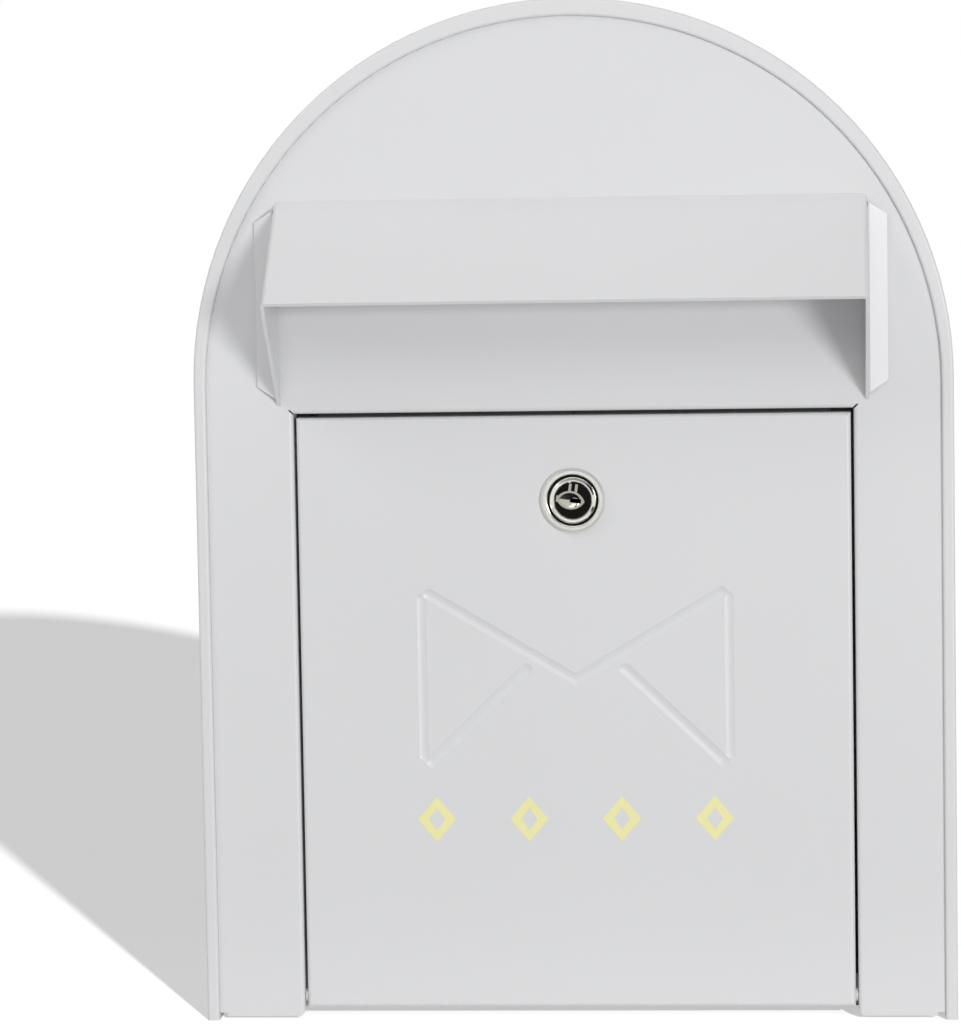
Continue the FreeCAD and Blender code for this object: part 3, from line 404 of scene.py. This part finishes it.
tree, sizes, result = pattern_tree("barrel_thread", {
    "Turns": "Int", "First": "Vector", "Step": "Vector", "Radius": "Float", "Start": "Float",
    "Sweep": "Float", "Ridge": "Float"})
arc = tree.nodes.new("GeometryNodeCurveArc")
arc.inputs["Resolution"].default_value = 20
tree.links.new(sizes.outputs["Radius"], arc.inputs["Radius"])
tree.links.new(sizes.outputs["Start"], arc.inputs["Start Angle"])
tree.links.new(sizes.outputs["Sweep"], arc.inputs["Sweep Angle"])
ridge = tree.nodes.new("GeometryNodeCurvePrimitiveCircle")
ridge.inputs["Resolution"].default_value = 4
tree.links.new(sizes.outputs["Ridge"], ridge.inputs["Radius"])
thread_arc = tree.nodes.new("GeometryNodeCurveToMesh")
thread_arc.inputs["Fill Caps"].default_value = True
tree.links.new(arc.outputs["Curve"], thread_arc.inputs["Curve"])
tree.links.new(ridge.outputs["Curve"], thread_arc.inputs["Profile Curve"])
upright = tree.nodes.new("GeometryNodeTransform")
upright.inputs["Rotation"].default_value = UPRIGHT
tree.links.new(thread_arc.outputs["Mesh"], upright.inputs["Geometry"])
other_side = tree.nodes.new("GeometryNodeTransform")
other_side.inputs["Rotation"].default_value = HALF_ROUND
tree.links.new(upright.outputs["Geometry"], other_side.inputs["Geometry"])
both_sides = tree.nodes.new("GeometryNodeJoinGeometry")
tree.links.new(upright.outputs["Geometry"], both_sides.inputs["Geometry"])
tree.links.new(other_side.outputs["Geometry"], both_sides.inputs["Geometry"])
turns = tree.nodes.new("GeometryNodeMeshLine")
tree.links.new(sizes.outputs["Turns"], turns.inputs["Count"])
tree.links.new(sizes.outputs["First"], turns.inputs["Start Location"])
tree.links.new(sizes.outputs["Step"], turns.inputs["Offset"])
thread = tree.nodes.new("GeometryNodeInstanceOnPoints")
tree.links.new(turns.outputs["Mesh"], thread.inputs["Points"])
tree.links.new(both_sides.outputs["Geometry"], thread.inputs["Instance"])
end_tree(tree, thread.outputs["Instances"], chrome, result)
pattern_piece("barrel_thread", tree, {
    "Turns": thread_turns, "First": (0.0, nut_back + THREAD_PITCH / 2, lock_z),
    "Step": (0.0, THREAD_PITCH, 0.0), "Radius": BARREL_RADIUS - THREAD_SINK,
    "Start": -thread_half_angle, "Sweep": 2 * thread_half_angle, "Ridge": THREAD_RIDGE,
}, "door")

# Floor. A white studio floor that takes the box's shadow. To the camera and in reflections it glows a
# little, so that it ends in plain white, and as a source of bounced light it counts as a soft grey.
FLOOR_Z = cad_box[0][2]
FLOOR_REACH = 40.0
FLOOR_WHITE = (0.80, 0.80, 0.80)
FLOOR_BOUNCE = (0.42, 0.42, 0.42)
FLOOR_GLOW = 0.51


def flat_sheet(name, half_width, half_depth):
    """Flat rectangle round its own origin."""
    mesh = bpy.data.meshes.new(name)
    corners = [(x * half_width, y * half_depth, 0) for x, y in ((-1, -1), (1, -1), (1, 1), (-1, 1))]
    mesh.from_pydata(corners, [], [(0, 1, 2, 3)])
    return mesh


floor_mesh = flat_sheet("floor", FLOOR_REACH, FLOOR_REACH)
floor_mesh.transform(Matrix.Translation((0, 0, FLOOR_Z)))
floor = bpy.data.objects.new("floor", floor_mesh)
bpy.context.scene.collection.objects.link(floor)


def seen_directly(tree):
    """Socket that is 1 for the camera and for reflections, and 0 for the light that lights things."""
    ray = tree.nodes.new("ShaderNodeLightPath")
    seen = ray.outputs["Is Camera Ray"]
    for kind in ("Is Glossy Ray", "Is Transmission Ray"):
        either = tree.nodes.new("ShaderNodeMath")
        either.operation = "MAXIMUM"
        tree.links.new(seen, either.inputs[0])
        tree.links.new(ray.outputs[kind], either.inputs[1])
        seen = either.outputs[0]
    return seen


floor_paint = bpy.data.materials.new("floor_paint")
floor_paint.use_nodes = True
tree = floor_paint.node_tree
tree.nodes.clear()
paint = tree.nodes.new("ShaderNodeBsdfDiffuse")
paint.inputs["Color"].default_value = (*FLOOR_WHITE, 1)
bounce = tree.nodes.new("ShaderNodeBsdfDiffuse")
bounce.inputs["Color"].default_value = (*FLOOR_BOUNCE, 1)
glow = tree.nodes.new("ShaderNodeEmission")
glow.inputs["Strength"].default_value = 1.0
glowing = tree.nodes.new("ShaderNodeMixShader")
glowing.inputs[0].default_value = FLOOR_GLOW
tree.links.new(paint.outputs[0], glowing.inputs[1])
tree.links.new(glow.outputs[0], glowing.inputs[2])
whole = tree.nodes.new("ShaderNodeMixShader")
tree.links.new(seen_directly(tree), whole.inputs[0])
tree.links.new(bounce.outputs[0], whole.inputs[1])
tree.links.new(glowing.outputs[0], whole.inputs[2])
surface = tree.nodes.new("ShaderNodeOutputMaterial")
tree.links.new(whole.outputs[0], surface.inputs["Surface"])
floor_mesh.materials.append(floor_paint)

# Studio. White all round for the camera and for reflections, and a softer grey as ambient light. A key
# soft box stands low at the right, with weaker ones at the left, in front and overhead, and a sun only
# gives the floor its shadow. Three black cards show as dark parts in the polished lock.
AMBIENT = 0.25
SUN_STRENGTH = 11.2
SUN_ANGLE = 1.2
CARD_BLACK = (0.02, 0.02, 0.02)
AIM = Vector((0.0, -0.15, 0.08))

world = bpy.data.worlds.new("studio")
bpy.context.scene.world = world
world.use_nodes = True
tree = world.node_tree
tree.nodes.clear()
level = tree.nodes.new("ShaderNodeMapRange")
level.inputs["To Min"].default_value = AMBIENT
level.inputs["To Max"].default_value = 1.0
tree.links.new(seen_directly(tree), level.inputs["Value"])
sky = tree.nodes.new("ShaderNodeBackground")
sky.inputs["Color"].default_value = (1, 1, 1, 1)
tree.links.new(level.outputs["Result"], sky.inputs["Strength"])
surface = tree.nodes.new("ShaderNodeOutputWorld")
tree.links.new(sky.outputs[0], surface.inputs["Surface"])

floor_only = bpy.data.collections.new("floor_only")
floor_only.objects.link(floor)
all_but_floor = bpy.data.collections.new("all_but_floor")
all_but_floor.objects.link(floor)
all_but_floor.collection_objects[0].light_linking.link_state = "EXCLUDE"


def direction(azimuth, elevation):
    """From the box towards a lamp: azimuth from straight in front towards the right, in degrees."""
    azimuth, elevation = math.radians(azimuth), math.radians(elevation)
    level_part = math.cos(elevation)
    return Vector((level_part * math.sin(azimuth), -level_part * math.cos(azimuth), math.sin(elevation)))


def place_lamp(light, azimuth, elevation, distance, lights):
    """Aims a lamp at the box from a direction, and says what it lights."""
    lamp = bpy.data.objects.new(light.name, light)
    towards = direction(azimuth, elevation)
    lamp.location = AIM + distance * towards
    lamp.rotation_euler = towards.to_track_quat("Z", "Y").to_euler()
    bpy.context.scene.collection.objects.link(lamp)
    lamp.light_linking.receiver_collection = lights


def soft_box(name, azimuth, elevation, distance, width, height, power):
    """Rectangular area lamp that lights the box and not the floor."""
    light = bpy.data.lights.new(name, "AREA")
    light.shape = "RECTANGLE"
    light.size = width
    light.size_y = height
    light.energy = power
    place_lamp(light, azimuth, elevation, distance, all_but_floor)


soft_box("key_soft_box", azimuth=29, elevation=3.5, distance=4.5, width=1.1, height=0.7, power=86)
soft_box("left_soft_box", azimuth=-50, elevation=40, distance=3.0, width=1.2, height=1.2, power=17)
soft_box("front_soft_box", azimuth=0, elevation=30, distance=3.0, width=1.4, height=1.0, power=13)
soft_box("overhead_soft_box", azimuth=0, elevation=83, distance=2.5, width=1.6, height=1.2, power=9)
shadow_sun = bpy.data.lights.new("shadow_sun", "SUN")
shadow_sun.energy = SUN_STRENGTH
shadow_sun.angle = math.radians(SUN_ANGLE)
place_lamp(shadow_sun, azimuth=21.4, elevation=16.7, distance=3.0, lights=floor_only)


def dark_card(name, centre, facing, width, height):
    """Black card that shows only in reflections, and takes no light from the box."""
    sheet = flat_sheet(name, width / 2, height / 2)
    black, _, shader = new_finish(name + "_black")
    shader.inputs["Base Color"].default_value = (*CARD_BLACK, 1)
    shader.inputs["Specular IOR Level"].default_value = 0.0
    sheet.materials.append(black)
    card = bpy.data.objects.new(name, sheet)
    card.location = centre
    card.rotation_euler = Vector(facing).to_track_quat("Z", "Y").to_euler()
    bpy.context.scene.collection.objects.link(card)
    card.visible_camera = False
    card.visible_diffuse = False
    card.visible_transmission = False
    card.visible_shadow = False


above = direction(0, 40)
dark_card("card_below", (0.02, -0.85, FLOOR_Z + 0.01), facing=(0, 0, 1), width=0.90, height=1.20)
dark_card("card_above", AIM + 3.8 * above, facing=-above, width=3.4, height=2.4)
dark_card("card_upper_right", (0.62, -0.47, 0.76), facing=(-0.62, 0.32, -0.68), width=1.50, height=1.30)

# Camera. A long lens, nearly two metres away, a little above the box's middle and to its right. It is
# turned slightly left, down and about its own axis.
PHOTO_HEIGHT = 1024
FOCAL_PIXELS = 4404.0
SENSOR_WIDTH = 36.0
CAMERA_PLACE = (0.1015, -1.946, 0.2495)
YAW, PITCH, ROLL = (math.radians(turn) for turn in (4.44, -5.45, 0.976))

lens = bpy.data.cameras.new("camera")
lens.sensor_width = SENSOR_WIDTH
lens.lens = FOCAL_PIXELS / PHOTO_HEIGHT * SENSOR_WIDTH
camera = bpy.data.objects.new("camera", lens)
turn = Matrix.Rotation(YAW, 3, "Z") @ Matrix.Rotation(PITCH, 3, "X") @ Matrix.Rotation(ROLL, 3, "Y")
look = turn @ Matrix.Rotation(math.radians(90), 3, "X")
camera.matrix_world = Matrix.Translation(CAMERA_PLACE) @ look.to_4x4()
bpy.context.scene.collection.objects.link(camera)
bpy.context.scene.camera = camera
bpy.context.scene.view_settings.view_transform = "Standard"
